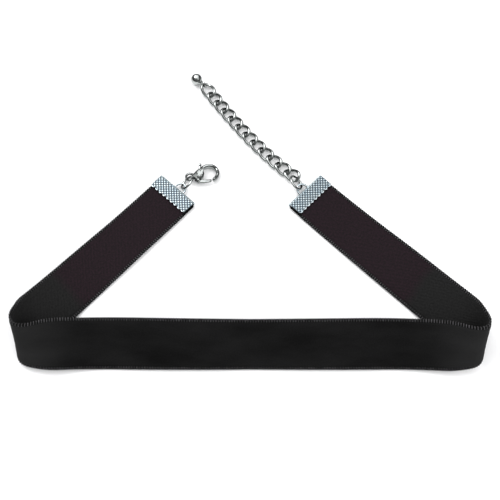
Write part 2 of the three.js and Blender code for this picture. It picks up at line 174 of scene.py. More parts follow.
def tube(path: Array, radius: Array | float, sides: int, upright: Array, closed: bool) -> Surface:
    """Round wire along a path: point = path + radius (cos a * side + sin a * over).

    side is the unit vector at right angles to the path and to upright, and over completes the
    frame, so the wire doesn't twist about a path that never runs along upright.

    Args:
        path: points along the wire's middle, in mm.
        radius: the wire's radius, one number or one for each point.
        sides: number of points round the wire.
        upright: a direction that the path never takes.
        closed: whether the path is a loop. An open one gets flat ends.

    Returns:
        The wire's surface.
    """
    if closed:
        ahead = np.roll(path, -1, axis=0) - np.roll(path, 1, axis=0)
    else:
        ahead = np.gradient(path, axis=0)
    ahead = unit(ahead)
    side = unit(np.cross(ahead, upright))
    over = np.cross(side, ahead)
    angle = full_turn(sides)
    thick = np.broadcast_to(np.asarray(radius, float), (len(path),))[:, None, None]
    ring = (
        np.cos(angle)[None, :, None] * side[:, None]
        + np.sin(angle)[None, :, None] * over[:, None]
    )
    points = (path[:, None] + thick * ring).reshape(-1, 3)
    faces = grid_faces(len(path), sides, wrap_rows=closed, wrap_columns=True).tolist()
    if not closed:
        faces += end_caps(len(path), sides)
    return Surface(points, faces)


def lathe(profile: Array, sides: int) -> Surface:
    """A profile of (radius, height) turned about the height: x = r cos a, y = r sin a, z = h."""
    angle = full_turn(sides)
    radius = profile[:, 0:1]
    height = np.broadcast_to(profile[:, 1:2], (len(profile), sides))
    points = np.stack([radius * np.cos(angle), radius * np.sin(angle), height], axis=-1)
    faces = grid_faces(len(profile), sides, wrap_columns=True).tolist()
    return Surface(points.reshape(-1, 3), faces)


def between_edges(
    left: Array, right: Array, half_height: Array, sides: int, power: float
) -> Surface:
    """A cast bar between two edge lines seen from above.

    The section at each station is a superellipse: point = middle + half_width * c^p + z * height
    * s^p, where c and s are the cosine and sine of the angle round the bar, keeping their signs.

    Args:
        left: points along the bar's left edge, in mm, on the plane z = 0.
        right: points along its right edge, one for each on the left.
        half_height: half the bar's height at each station.
        sides: number of points round the bar.
        power: 1 for an ellipse, less for a squarer section.

    Returns:
        The bar's surface, with flat ends.
    """
    angle = full_turn(sides)
    c = np.sign(np.cos(angle)) * np.abs(np.cos(angle)) ** power
    s = np.sign(np.sin(angle)) * np.abs(np.sin(angle)) ** power
    middle, half = (left + right) / 2.0, (left - right) / 2.0
    flat = middle[:, None] + half[:, None] * c[None, :, None]
    points = flat + (half_height[:, None] * s[None, :])[..., None] * UP
    faces = grid_faces(len(left), sides, wrap_columns=True).tolist() + end_caps(len(left), sides)
    return Surface(points.reshape(-1, 3), faces)


def slab(outline: Array, half_height: float) -> Surface:
    """A flat outline given height, centred on the plane z = 0."""
    count = len(outline)
    low = np.column_stack([outline, np.full(count, -half_height)])
    high = np.column_stack([outline, np.full(count, half_height)])
    faces = [[i, (i + 1) % count, count + (i + 1) % count, count + i] for i in range(count)]
    faces.append(list(range(count))[::-1])
    faces.append(list(range(count, 2 * count)))
    return Surface(np.vstack([low, high]), faces)


def through(keys: Sequence[Sequence[float]], count: int) -> Array:
    """Points on a smooth line through key points, by a Catmull-Rom spline evaluated as arrays."""
    rows = np.asarray(keys, float)
    padded = np.vstack([2 * rows[0] - rows[1], rows, 2 * rows[-1] - rows[-2]])
    at = np.linspace(0.0, len(rows) - 1 - 1e-9, count)
    i = at.astype(int)
    t = (at - i)[:, None]
    a, b, c, d = padded[i], padded[i + 1], padded[i + 2], padded[i + 3]
    square, cube = 2 * a - 5 * b + 4 * c - d, 3 * b - a - 3 * c + d
    return 0.5 * (2 * b + (c - a) * t + square * t**2 + cube * t**3)


# ---------------------------------------------------------------- frames


def turned(axis: str, degrees: float) -> Array:
    """A 4 by 4 turn about x, y or z by the right-hand rule."""
    c, s = math.cos(math.radians(degrees)), math.sin(math.radians(degrees))
    frame = np.eye(4)
    i, j = {"x": (1, 2), "y": (2, 0), "z": (0, 1)}[axis]
    frame[i, i], frame[i, j], frame[j, i], frame[j, j] = c, -s, s, c
    return frame


def lying(point: Array, heading: float, pitch: float = 0.0, roll: float = 0.0) -> Array:
    """The frame of a thing at a point, turned to a heading, pitched up ahead and rolled."""
    frame = turned("z", heading) @ turned("y", -pitch) @ turned("x", roll)
    frame[:3, 3] = point
    return frame


def from_axes(x: Array, y: Array, z: Array, origin: Array) -> Array:
    """The frame with these axes and origin."""
    frame = np.eye(4)
    frame[:3, 0], frame[:3, 1], frame[:3, 2], frame[:3, 3] = x, y, z, origin
    return frame


def moved_by(shift: Array) -> Array:
    """The frame that moves a thing by a shift without turning it."""
    return from_axes(*np.eye(3), shift)


@dataclass(frozen=True)
class Lie:
    """How a loose piece lies off a clamp's folded edge: distances in mm, then turns in degrees."""

    out: float
    aside: float
    height: float
    heading: float = 0.0
    pitch: float = 0.0
    roll: float = 0.0


CLASP_RING_LIE = Lie(3.36, 0.69, 2.4, heading=13.5, pitch=2.1, roll=-49.7)
CHAIN_RING_LIE = Lie(3.53, -0.08, 2.31, heading=-21.0, pitch=7.5, roll=46.1)
CLASP_LIE = Lie(5.81, -0.43, 1.99)
CHAIN_LIE = Lie(6.95, 1.5, 1.2)
CLASP_HEADING, CLASP_PITCH = 12.4, -4.7


# ---------------------------------------------------------------- finishes


class Nodes:
    """A material's node tree, with one short call for a node and one for a link."""

    def __init__(self, name: str) -> None:
        """Makes an empty material of that name with its output."""
        self.material = bpy.data.materials.new(name)
        self.material.use_nodes = True
        self.tree = self.material.node_tree
        self.tree.nodes.clear()
        self.output = self.tree.nodes.new("ShaderNodeOutputMaterial")

    def add(self, kind: str, **settings: object) -> bpy.types.Node:
        """Adds a node. Settings name its sockets, or its own properties in lower case."""
        node = self.tree.nodes.new(kind)
        for name, value in settings.items():
            socket = name.replace("_", " ").title()
            match = {s.name.lower(): s for s in node.inputs}.get(socket.lower())
            if match is not None:
                match.default_value = value
            else:
                setattr(node, name, value)
        return node

    def link(
        self, source: bpy.types.Node, output: str, target: bpy.types.Node, socket: str
    ) -> None:
        """Joins an output to an input by their names."""
        self.tree.links.new(source.outputs[output], target.inputs[socket])

    def noise(
        self, place: bpy.types.Node, output: str, scale: float, detail: float, **settings: object
    ) -> bpy.types.Node:
        """A noise texture laid by one of a coordinate node's outputs."""
        node = self.add("ShaderNodeTexNoise", scale=scale, detail=detail, **settings)
        self.link(place, output, node, "Vector")
        return node

    def weighed(
        self, texture: bpy.types.Node, weight: float, base: bpy.types.Node, output: str = "Fac"
    ) -> bpy.types.Node:
        """A texture times a weight, plus another node's output."""
        node = self.add("ShaderNodeMath", operation="MULTIPLY_ADD")
        self.link(texture, "Fac", node, "Value")
        node.inputs[1].default_value = weight
        self.tree.links.new(base.outputs[output], node.inputs[2])
        return node

    def multiplied(self, first: bpy.types.Node, second: bpy.types.Node) -> bpy.types.Node:
        """Two nodes' colours multiplied together."""
        node = self.add("ShaderNodeMix", data_type="RGBA", blend_type="MULTIPLY")
        node.inputs["Factor"].default_value = 1.0
        self.tree.links.new(first.outputs["Color"], node.inputs["A"])
        self.tree.links.new(second.outputs["Color"], node.inputs["B"])
        return node

    def bumped(
        self, shader: bpy.types.Node, texture: bpy.types.Node, strength: float, distance: float
    ) -> None:
        """Roughens the shader's surface by a texture, to a depth in metres."""
        bump = self.add("ShaderNodeBump", strength=strength, distance=distance)
        self.link(texture, "Fac", bump, "Height")
        self.link(bump, "Normal", shader, "Normal")

    def ramp(
        self, low: float, high: float, dark: Sequence[float], light: Sequence[float]
    ) -> bpy.types.Node:
        """A colour ramp from dark at low to light at high."""
        node = self.tree.nodes.new("ShaderNodeValToRGB")
        node.color_ramp.elements[0].position = low
        node.color_ramp.elements[0].color = (*dark, 1.0)
        node.color_ramp.elements[1].position = high
        node.color_ramp.elements[1].color = (*light, 1.0)
        return node

    def surface(self, shader: bpy.types.Node) -> bpy.types.Material:
        """Joins the shader to the output and returns the material."""
        self.link(shader, "BSDF", self.output, "Surface")
        return self.material


def fill_ramp(
    ramp: bpy.types.ColorRamp, stops: Sequence[tuple[float, tuple[float, float, float]]]
) -> None:
    """Gives a colour ramp these stops, each a place from 0 to 1 and a colour."""
    while len(ramp.elements) < len(stops):
        ramp.elements.new(0.5)
    for element, (position, colour) in zip(ramp.elements, stops):
        element.position = position
        element.color = (*colour, 1.0)


@dataclass(frozen=True)
class VelvetPile:
    """Short dense black pile: nearly no gloss, a faint sheen, pressed a little, and a painted sheen
    that lightens it towards the folds.
    """

    dark: tuple[float, float, float] = (0.0015, 0.0015, 0.0015)
    light: tuple[float, float, float] = (0.0068, 0.0068, 0.0069)
    painted_sheen: tuple[float, float, float] = (0.0095, 0.0095, 0.0096)
    sheen: float = 0.025
    fibre_mm: float = 0.42

    def material(self) -> bpy.types.Material:
        """The pile's material, on the ribbon's own UV map, which is in centimetres."""
        nodes = Nodes("velvet_pile")
        shader = nodes.add(
            "ShaderNodeBsdfPrincipled", roughness=0.92, specular_ior_level=0.10,
            sheen_weight=self.sheen, sheen_roughness=0.42, sheen_tint=(0.62, 0.62, 0.66, 1.0),
        )
        place = nodes.add("ShaderNodeUVMap")
        lay = nodes.add("ShaderNodeMapping")
        lay.inputs["Scale"].default_value = (0.35, 1.0, 1.0)
        nodes.link(place, "UV", lay, "Vector")
        pressed = nodes.noise(lay, "Vector", 1.1, 3.0, roughness=0.55)
        fibre = nodes.noise(place, "UV", 10.0 / self.fibre_mm, 3.0)
        both = nodes.weighed(fibre, 0.45, pressed)
        colour = nodes.ramp(0.52, 0.92, self.dark, self.light)
        nodes.link(both, "Value", colour, "Fac")
        # A painted sheen lightens the pile towards the folds.
        tint_and_sheen_source = nodes.add("ShaderNodeAttribute", attribute_name="brushed_pile")
        lifted = nodes.add("ShaderNodeMix", data_type="RGBA", blend_type="ADD")
        nodes.link(tint_and_sheen_source, "Fac", lifted, "Factor")
        nodes.tree.links.new(colour.outputs["Color"], lifted.inputs["A"])
        lifted.inputs["B"].default_value = (*self.painted_sheen, 1.0)
        nodes.tree.links.new(lifted.outputs["Result"], shader.inputs["Base Color"])
        nodes.bumped(shader, fibre, 0.55, 0.00012)
        return nodes.surface(shader)


@dataclass(frozen=True)
class WovenBack:
    """The ribbon's woven back: fine ribs across it, dull black with a purple cast in patches."""

    neutral: tuple[float, float, float] = (0.0052, 0.0052, 0.0052)
    purple: tuple[float, float, float] = (0.0074, 0.0027, 0.0049)
    rib_mm: float = 0.7

    def material(self) -> bpy.types.Material:
        """The back's material, with its ribs as bump and its cast as slow patches."""
        nodes = Nodes("woven_back")
        shader = nodes.add(
            "ShaderNodeBsdfPrincipled", roughness=0.72, specular_ior_level=0.14,
            sheen_weight=0.02, sheen_roughness=0.5,
        )
        place = nodes.add("ShaderNodeUVMap")
        dyed = nodes.add("ShaderNodeAttribute", attribute_name="worn_dye")
        amount = nodes.weighed(nodes.noise(place, "UV", 0.8, 2.0), 0.5, dyed)
        cast = nodes.ramp(0.45, 0.85, self.neutral, self.purple)
        nodes.link(amount, "Value", cast, "Fac")
        rib = nodes.add("ShaderNodeTexWave", scale=2.0 * math.pi / self.rib_mm, distortion=1.2)
        rib.bands_direction = "DIAGONAL"
        rib.inputs["Detail Scale"].default_value = 3.0
        nodes.link(place, "UV", rib, "Vector")
        weave = nodes.weighed(rib, 0.3, nodes.noise(place, "UV", 17.0, 3.0))
        tone = nodes.ramp(0.46, 0.84, (0.25, 0.25, 0.25), (1.75, 1.75, 1.75))
        nodes.link(weave, "Value", tone, "Fac")
        shade = nodes.multiplied(cast, tone)
        nodes.tree.links.new(shade.outputs["Result"], shader.inputs["Base Color"])
        nodes.bumped(shader, rib, 0.4, 0.00008)
        return nodes.surface(shader)


@dataclass(frozen=True)
class EdgeThread:
    """Silky black thread of the ribbon's woven edge."""

    name: str = "edge_thread"
    gloss: float = 0.3
    dark: tuple[float, float, float] = (0.010, 0.010, 0.010)
    light: tuple[float, float, float] = (0.058, 0.056, 0.060)

    def material(self) -> bpy.types.Material:
        """The thread's material, slightly lighter on some threads than on others."""
        nodes = Nodes(self.name)
        shader = nodes.add(
            "ShaderNodeBsdfPrincipled", roughness=0.6, specular_ior_level=self.gloss
        )
        place = nodes.add("ShaderNodeTexCoord")
        tone = nodes.noise(place, "Object", 900.0, 2.0)
        colour = nodes.ramp(0.35, 0.7, self.dark, self.light)
        nodes.link(tone, "Fac", colour, "Fac")
        nodes.link(colour, "Color", shader, "Base Color")
        nodes.bumped(shader, nodes.noise(place, "Object", 9000.0, 1.0), 0.3, 0.00005)
        return nodes.surface(shader)


@dataclass(frozen=True)
class PolishedSilver:
    """Silver plating, with a painted highlight on its top and painted shade along its shoulders.

    tones are pairs of how far the skin faces up, from -1 straight down to 1 straight up, and how
    bright the painted reflection and shade are there.
    """

    name: str = "polished_silver"
    tones: tuple[tuple[float, float], ...] = (
        (-1.0, 0.40), (0.15, 0.52), (0.42, 0.36), (0.62, 0.09),
        (0.87, 0.10), (0.960, 0.70), (1.0, 0.85),
    )
    tint: tuple[float, float, float] = (0.95, 1.0, 0.98)
    patchiness: float = 0.07
    low_roughness: float = 0.08
    high_roughness: float = 0.20

    def material(self) -> bpy.types.Material:
        """The plating's material: painted reflection and shade from its upward mark, and noise on
        the piece's own coordinates.
        """
        nodes = Nodes(self.name)
        shader = nodes.add("ShaderNodeBsdfPrincipled", metallic=1.0)
        facing = nodes.add("ShaderNodeAttribute", attribute_name="upward")
        place = nodes.add("ShaderNodeTexCoord")
        # Noise patches in the colour are painted reflection; the same noise also varies the
        # roughness.
        gloss_and_reflection_noise = nodes.noise(place, "Object", 620.0, 3.0)
        kept = nodes.add("ShaderNodeMath", operation="MULTIPLY")
        nodes.link(facing, "Fac", kept, "Value")
        kept.inputs[1].default_value = 1.0 - self.patchiness
        wander = nodes.weighed(gloss_and_reflection_noise, self.patchiness, kept, "Value")
        colour = nodes.add("ShaderNodeValToRGB")
        fill_ramp(colour.color_ramp, [self.stop(up, level) for up, level in self.tones])
        nodes.link(wander, "Value", colour, "Fac")
        nodes.link(colour, "Color", shader, "Base Color")
        gloss = nodes.add("ShaderNodeMapRange")
        gloss.inputs["To Min"].default_value = self.high_roughness
        gloss.inputs["To Max"].default_value = self.low_roughness
        nodes.link(gloss_and_reflection_noise, "Fac", gloss, "Value")
        nodes.link(gloss, "Result", shader, "Roughness")
        nodes.bumped(shader, nodes.noise(place, "Object", 2600.0, 3.0), 0.08, 0.00004)
        return nodes.surface(shader)

    def stop(self, up: float, level: float) -> tuple[float, tuple[float, float, float]]:
        """A tone's place on the ramp, half the patchiness clear of both ends, and its colour."""
        place = self.patchiness / 2.0 + (1.0 - self.patchiness) * (up + 1.0) / 2.0
        return place, (level * self.tint[0], level * self.tint[1], level * self.tint[2])


# The casting's silver: the same painted reflection, with broader painted shade on its shoulders and
# bigger painted reflection patches.
CAST_SILVER = PolishedSilver(
    "cast_silver",
    tones=(
        (-1.0, 0.28), (0.15, 0.38), (0.40, 0.18), (0.60, 0.05),
        (0.950, 0.07), (0.985, 0.42), (1.0, 0.78),
    ),
    patchiness=0.20,
)


@dataclass(frozen=True)
class PressedSheet:
    """Plated sheet pressed with dimples, with painted bluish shade in the hollows and a painted
    highlight on the crowns.
    """

    painted_crown_light: tuple[float, float, float] = (0.20, 0.24, 0.255)
    painted_hollow_shade: tuple[float, float, float] = (0.060, 0.072, 0.092)
    polished: tuple[float, float, float] = (0.70, 0.76, 0.78)

    def material(self) -> bpy.types.Material:
        """The sheet's material, which paints shade and highlight from the pressed relief kept on
        its points.
        """
        nodes = Nodes("pressed_sheet")
        shader = nodes.add("ShaderNodeBsdfPrincipled", metallic=1.0, roughness=0.27)
        relief = nodes.add("ShaderNodeAttribute", attribute_name="relief")
        colour = nodes.ramp(0.16, 0.66, self.painted_hollow_shade, self.painted_crown_light)
        # The top stop is a painted highlight on the smooth rim, the crowns' peaks and the top of
        # the bail.
        highlight_stop = colour.color_ramp.elements.new(0.97)
        highlight_stop.color = (*self.polished, 1.0)
        nodes.link(relief, "Fac", colour, "Fac")
        place = nodes.add("ShaderNodeTexCoord")
        tint_and_sheen_source = nodes.noise(place, "Object", 700.0, 4.0)
        tint = nodes.ramp(0.38, 0.68, (0.80, 0.86, 0.90), (1.0, 1.0, 0.98))
        nodes.link(tint_and_sheen_source, "Fac", tint, "Fac")
        shade = nodes.multiplied(colour, tint)
        nodes.tree.links.new(shade.outputs["Result"], shader.inputs["Base Color"])
        nodes.bumped(shader, nodes.noise(place, "Object", 5200.0, 2.0), 0.15, 0.00005)
        return nodes.surface(shader)


# ---------------------------------------------------------------- pieces


def make_piece(
    name: str,
    surface: Surface,
    finishes: Sequence[bpy.types.Material],
    replaces: Sequence[str] = (),
    body: Body = Body.CHOKER,
    sharp_degrees: float = 50.0,
) -> bpy.types.Object:
    """Puts a worked-out surface into the scene as a finished piece at the origin.

    Args:
        name: the piece's name.
        surface: its points in mm in the part's frame, and its polygons.
        finishes: its materials, in the order the surface's finish_of_face counts them.
        replaces: the CAD nodes that it stands for.
        body: the rigid body that it moves with.
        sharp_degrees: edges that turn more than this stay sharp.

    Returns:
        The object.
    """
    mesh = bpy.data.meshes.new(name)
    mesh.from_pydata((surface.points * MM).tolist(), [], surface.faces)
    if surface.finish_of_face is not None:
        mesh.polygons.foreach_set("material_index", surface.finish_of_face.astype(np.int32))
    if surface.uv is not None:
        corners = np.zeros(len(mesh.loops), np.int32)
        mesh.loops.foreach_get("vertex_index", corners)
        layer = mesh.uv_layers.new(name="cloth")
        layer.data.foreach_set("uv", surface.uv[corners].astype(np.float32).ravel())
    for mark, values in surface.marks.items():
        attribute = mesh.attributes.new(mark, "FLOAT", "POINT")
        attribute.data.foreach_set("value", values.astype(np.float32))
    close_up(mesh)
    # The upward mark keeps how far each point faces up; the silver finishes paint reflection and
    # shade from it.
    normals = np.zeros(len(mesh.vertices) * 3, np.float32)
    mesh.vertices.foreach_get("normal", normals)
    upward = mesh.attributes.new("upward", "FLOAT", "POINT")
    upward.data.foreach_set("value", (normals[2::3] + 1.0) / 2.0)
    for material in finishes:
        mesh.materials.append(material)
    mesh.shade_smooth()
    mesh.set_sharp_from_angle(angle=math.radians(sharp_degrees))
    piece = bpy.data.objects.new(name, mesh)
    bpy.context.scene.collection.objects.link(piece)
    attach(piece, body.value)
    if replaces:
        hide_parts(*replaces)
    triangles = sum(len(polygon.vertices) - 2 for polygon in mesh.polygons)
    log.info("%s: %d triangles on %s", name, triangles, body.value)
    return piece


def close_up(mesh: bpy.types.Mesh) -> None:
    """Merges the doubled points at poles and turns every face outwards."""
    work = bmesh.new()
    work.from_mesh(mesh)
    bmesh.ops.remove_doubles(work, verts=work.verts, dist=1e-7)
    bmesh.ops.recalc_face_normals(work, faces=work.faces)
    work.to_mesh(mesh)
    work.free()


def cut_away(blank: Surface, cutter: Surface) -> Surface:
    """The blank with the cutter's solid taken out, worked in mm so that nothing is too small."""
    made = []
    for name, surface in (("blank", blank), ("cutter", cutter)):
        mesh = bpy.data.meshes.new(name)
        mesh.from_pydata(surface.points.tolist(), [], surface.faces)
        close_up(mesh)
        shape = bpy.data.objects.new(name, mesh)
        bpy.context.scene.collection.objects.link(shape)
        made.append(shape)
    modifier = made[0].modifiers.new("cut", "BOOLEAN")
    modifier.operation = "DIFFERENCE"
    modifier.solver = "EXACT"
    modifier.object = made[1]
    bpy.context.view_layer.update()
    evaluated = made[0].evaluated_get(bpy.context.evaluated_depsgraph_get())
    result = bpy.data.meshes.new_from_object(evaluated)
    points = np.zeros(len(result.vertices) * 3)
    result.vertices.foreach_get("co", points)
    faces = [list(polygon.vertices) for polygon in result.polygons]
    for shape in made:
        mesh = shape.data
        bpy.data.objects.remove(shape)
        bpy.data.meshes.remove(mesh)
    bpy.data.meshes.remove(result)
    return Surface(points.reshape(-1, 3), faces)


# ---------------------------------------------------------------- ribbon


@dataclass(frozen=True)
class Stretch:
    """One stretch of a side of the ribbon: length in mm, and turn and twist in degrees."""

    name: str
    length: float
    turn: float
    twist: float


@dataclass
class Line:
    """The ribbon's middle line: points, the way it runs, the way across it, and arc length."""

    points: Array
    along: Array
    across: Array
    length: Array

    def at(self, place: Array) -> "Line":
        """The line at other arc lengths, by linear interpolation."""
        points, along, across = (
            np.stack([np.interp(place, self.length, values[:, k]) for k in range(3)], axis=1)
            for values in (self.points, self.along, self.across)
        )
        return Line(points, unit(along), unit(across), place)


LEFT_STRETCHES = (
    Stretch("front", 39.0, 4.0, -10.0),
    Stretch("front end", 25.0, -21.0, 3.0),
    Stretch("into the fold", 8.0, -1.0, 28.0),
    Stretch("fold", 8.0, 154.0, 26.0),
    Stretch("out of the fold", 8.0, -16.0, 45.0),
    Stretch("arm near the fold", 16.0, 17.0, 8.0),
    Stretch("arm", 24.0, 0.0, 12.0),
    Stretch("arm at the clamp", 24.5, 2.0, 1.0),
)
RIGHT_STRETCHES = (
    Stretch("front", 38.5, 2.0, -7.0),
    Stretch("front end", 25.0, -20.0, 8.0),
    Stretch("into the fold", 8.0, 2.0, 23.0),
    Stretch("fold", 8.0, 159.0, 24.0),
    Stretch("out of the fold", 8.0, -22.0, 41.0),
    Stretch("arm near the fold", 16.0, 18.0, 6.0),
    Stretch("arm", 24.0, -2.0, 13.0),
    Stretch("arm at the clamp", 29.0, 6.0, 7.0),
)


@dataclass
class Ribbon:
    """The velvet ribbon: pile face out, woven back in, an overcast woven edge on both sides."""

    width: float = 16.7
    front_lean: float = 35.0
    front_edge_height: float = 0.5
    table_gap: float = 0.25
    blend: float = 6.0
    steps: int = 480
    pile_height: float = 0.58
    back_height: float = 0.40
    edge_width: float = 1.0
    edge_half: float = 0.24
    pinched_half: float = 0.28
    pinch_length: float = 4.8
    pinch_taper: float = 1.6
    pile_fall: float = 0.45
    edge_round: float = 0.22
    rim_inset: float = 0.7
    middle_inset: float = 1.2
    station_spacing: float = 0.5
    dyed_from_clamp: tuple[float, float] = (44.0, 56.0)
    # Where the pile's painted sheen rises, in mm from the middle of the front.
    painted_sheen_from_middle: tuple[float, float] = (56.0, 74.0)
    stitch_pitch: float = 0.85
    stitch_radius: float = 0.125
    stitch_flatness: float = 1.35
    stitch_sides: int = 6
    left: Line = field(init=False)
    right: Line = field(init=False)

    def __post_init__(self) -> None:
        """Works out both sides' middle lines."""
        self.left = self.side_line(LEFT_STRETCHES, Side.LEFT)
        self.right = self.side_line(RIGHT_STRETCHES, Side.RIGHT)

    def rate(self, stretches: Sequence[Stretch], quantity: str, at: Array) -> Array:
        """Bending in radians per mm: the angle built up over the blend length, divided by it."""
        ends = np.cumsum([0.0] + [stretch.length for stretch in stretches])
        sums = np.cumsum([0.0] + [getattr(stretch, quantity) for stretch in stretches])
        reach = self.blend / 2.0
        change = np.interp(at + reach, ends, sums) - np.interp(at - reach, ends, sums)
        return np.radians(change) / self.blend

    def side_line(self, stretches: Sequence[Stretch], side: Side) -> Line:
        """Walks one side from the middle of the front, turning the frame a little at each step.

        The frame turns about side * (turn * across + twist * along), and the point moves by the
        mean of the directions before and after. No part of the cloth goes below the table.

        Args:
            stretches: the side's stretches in order.
            side: which side.

        Returns:
            The side's middle line.
        """
        total = sum(stretch.length for stretch in stretches)
        step = total / self.steps
        at = (np.arange(self.steps) + 0.5) * step
        turn = side.value * self.rate(stretches, "turn", at) * step
        twist = side.value * self.rate(stretches, "twist", at) * step
        lean = math.radians(self.front_lean)
        along = np.array([float(side.value), 0.0, 0.0])
        across = np.array([0.0, math.cos(lean), math.sin(lean)])
        point = across * self.width / 2.0 + UP * self.front_edge_height
        rows = [(point, along, across)]
        for i in range(self.steps):
            spin = across * turn[i] + along * twist[i]
            before = along
            along, across = self.spun(along, spin), self.spun(across, spin)
            point = point + (before + along) * step / 2.0
            rows.append((point, along, across))
        points, directions, crosses = (np.array(column) for column in zip(*rows))
        least = self.width / 2.0 * np.abs(crosses[:, 2]) + self.table_gap
        points[:, 2] = np.maximum(points[:, 2], least)
        return Line(points, directions, crosses, np.arange(self.steps + 1) * step)

    @staticmethod
    def spun(vector: Array, spin: Array) -> Array:
        """A vector turned about a spin vector by the spin's length in radians."""
        angle = float(np.linalg.norm(spin))
        if angle < 1e-12:
            return vector
        axis = spin / angle
        c, s = math.cos(angle), math.sin(angle)
        return vector * c + np.cross(axis, vector) * s + axis * (axis @ vector) * (1.0 - c)

    def whole_line(self) -> Line:
        """Both sides as one line from the left clamp to the right one."""
        left, right = self.left, self.right
        half = left.length[-1]
        return Line(
            np.vstack([left.points[::-1], right.points[1:]]),
            np.vstack([-left.along[::-1], right.along[1:]]),
            np.vstack([left.across[::-1], right.across[1:]]),
            np.concatenate([half - left.length[::-1], half + right.length[1:]]),
        )

    def columns(self) -> Array:
        """Places across the ribbon, closer together at the woven edges."""
        edge, pile = self.width / 2.0, self.width / 2.0 - self.edge_width
        rim = np.linspace(pile - self.rim_inset, edge, 12)
        middle = np.linspace(-(pile - self.middle_inset), pile - self.middle_inset, 18)
        return np.concatenate([-rim[::-1], middle, rim])

    def heights(self, across: Array) -> tuple[Array, Array]:
        """How far the pile face and the back stand from the middle, at places across.

        The pile falls to the woven edge by a smooth step, and the very edge is rounded off by
        the square root of what is left of the width.
        """
        edge, pile = self.width / 2.0, self.width / 2.0 - self.edge_width
        inner = 1.0 - smooth_step(np.abs(across), pile - self.pile_fall, pile + 0.05)
        end = np.sqrt(np.clip((edge - np.abs(across)) / self.edge_round, 0.0, 1.0))
        front = (self.edge_half + (self.pile_height - self.edge_half) * inner) * end
        back = (self.edge_half + (self.back_height - self.edge_half) * inner) * end
        return front, back

    def skin(self) -> Surface:
        """The ribbon's closed skin: point = line + across * v + out * height(v).

        out is along x across, the pile side. Near each clamp the height is squeezed to what the
        clamp holds.

        Returns:
            The skin with its UV map in cm and its finishes: 0 pile, 1 back, 2 woven edge.
        """
        whole = self.whole_line()
        total = whole.length[-1]
        line = whole.at(np.linspace(0.0, total, int(total / self.station_spacing) + 1))
        across = self.columns()
        front, back = self.heights(across)
        to_end = np.minimum(line.length, total - line.length)
        opened = np.clip((to_end - self.pinch_length) / self.pinch_taper, 0.0, 1.0)
        limit = self.pinched_half + opened * (self.pile_height - self.pinched_half)
        up = np.minimum(front[None], limit[:, None])
        down = np.minimum(back[None], limit[:, None])[:, ::-1]
        place = np.concatenate([across, across[::-1][1:-1]])
        lift = np.concatenate([up, -down[:, 1:-1]], axis=1)
        out = np.cross(line.along, line.across)
        points = (
            line.points[:, None]
            + line.across[:, None] * place[None, :, None]
            + out[:, None] * lift[..., None]
        )
        rows, ring = lift.shape
        faces = grid_faces(rows, ring, wrap_columns=True)
        column = faces[:, 0] % ring
        kind = np.where(column < len(across) - 1, 0, 1)
        mid = np.abs(place[column] + place[(column + 1) % ring]) / 2.0
        kind = np.where(mid > self.width / 2.0 - self.edge_width, 2, kind)
        uv = np.stack(np.broadcast_arrays(line.length[:, None] / 10.0, place[None] / 10.0), axis=-1)
        polygons = faces.tolist() + end_caps(rows, ring)
        finish = np.concatenate([kind, [2, 2]])
        near_clamp = 1.0 - smooth_step(to_end, *self.dyed_from_clamp)
        # The pile is painted lighter towards the folds, a painted sheen.
        from_middle = np.abs(line.length - self.left.length[-1])
        near_fold = smooth_step(from_middle, *self.painted_sheen_from_middle)
        marks = {
            "worn_dye": np.repeat(near_clamp, ring),
            "brushed_pile": np.repeat(near_fold, ring),
        }
        return Surface(points.reshape(-1, 3), polygons, uv.reshape(-1, 2), finish, marks)

    def stitches(self) -> Surface:
        """The overcast threads: each goes over the edge from the pile side to the back.

        In the plane across the ribbon a thread follows a narrow U about the edge, and all the
        threads are one array of (thread, place on it, place round it).
        """
        whole = self.whole_line()
        clear = self.pinch_length + 0.1
        count = int((whole.length[-1] - 2 * clear) / self.stitch_pitch)
        line = whole.at(clear + self.stitch_pitch * (np.arange(count) + 0.5))
        edge = self.width / 2.0
        u_across = np.array([-1.0, -0.82, -0.35, -0.02, 0.07, -0.02, -0.35, -0.82, -1.0]) + edge
        u_out = np.array([0.16, 0.31, 0.29, 0.20, 0.0, -0.20, -0.29, -0.31, -0.16])
        radius = self.stitch_radius * np.array([0.3, 1.0, 1.0, 1.0, 1.0, 1.0, 1.0, 1.0, 0.3])
        d_across, d_out = np.gradient(u_across), np.gradient(u_out)
        scale = np.hypot(d_across, d_out)
        n_across, n_out = -d_out / scale, d_across / scale
        sides = self.stitch_sides
        angle = full_turn(sides)
        over = self.stitch_flatness * np.sin(angle)
        out = np.cross(line.along, line.across)
        whole_points, faces = [], []
        one = grid_faces(len(u_across), sides, wrap_columns=True)
        for sign in (1.0, -1.0):
            side = line.across * sign
            centre = (
                line.points[:, None]
                + side[:, None] * u_across[None, :, None]
                + out[:, None] * u_out[None, :, None]
            )
            normal = side[:, None] * n_across[None, :, None] + out[:, None] * n_out[None, :, None]
            ring = (
                normal[:, :, None] * np.cos(angle)[None, None, :, None]
                + line.along[:, None, None] * over[None, None, :, None]
            )
            points = centre[:, :, None] + ring * radius[None, :, None, None]
            start = len(u_across) * sides * count * len(whole_points)
            offset = start + np.arange(count)[:, None, None] * len(u_across) * sides
            whole_points.append(points.reshape(-1, 3))
            faces.append((one[None] + offset).reshape(-1, 4))
        return Surface(np.vstack(whole_points), np.vstack(faces).tolist())

    def build(self, shift: Array) -> None:
        frame = moved_by(shift)
        ground = EdgeThread("edge_ground", 0.04, (0.002, 0.002, 0.002), (0.005, 0.005, 0.005))
        finishes = [VelvetPile().material(), WovenBack().material(), ground.material()]
        skin, stitches = self.skin().placed(frame), self.stitches().placed(frame)
        cloth = make_piece("velvet_ribbon", skin, finishes, ["ribbon"])
        threads = make_piece("edge_stitches", stitches, [EdgeThread().material()])


# ---------------------------------------------------------------- clamps


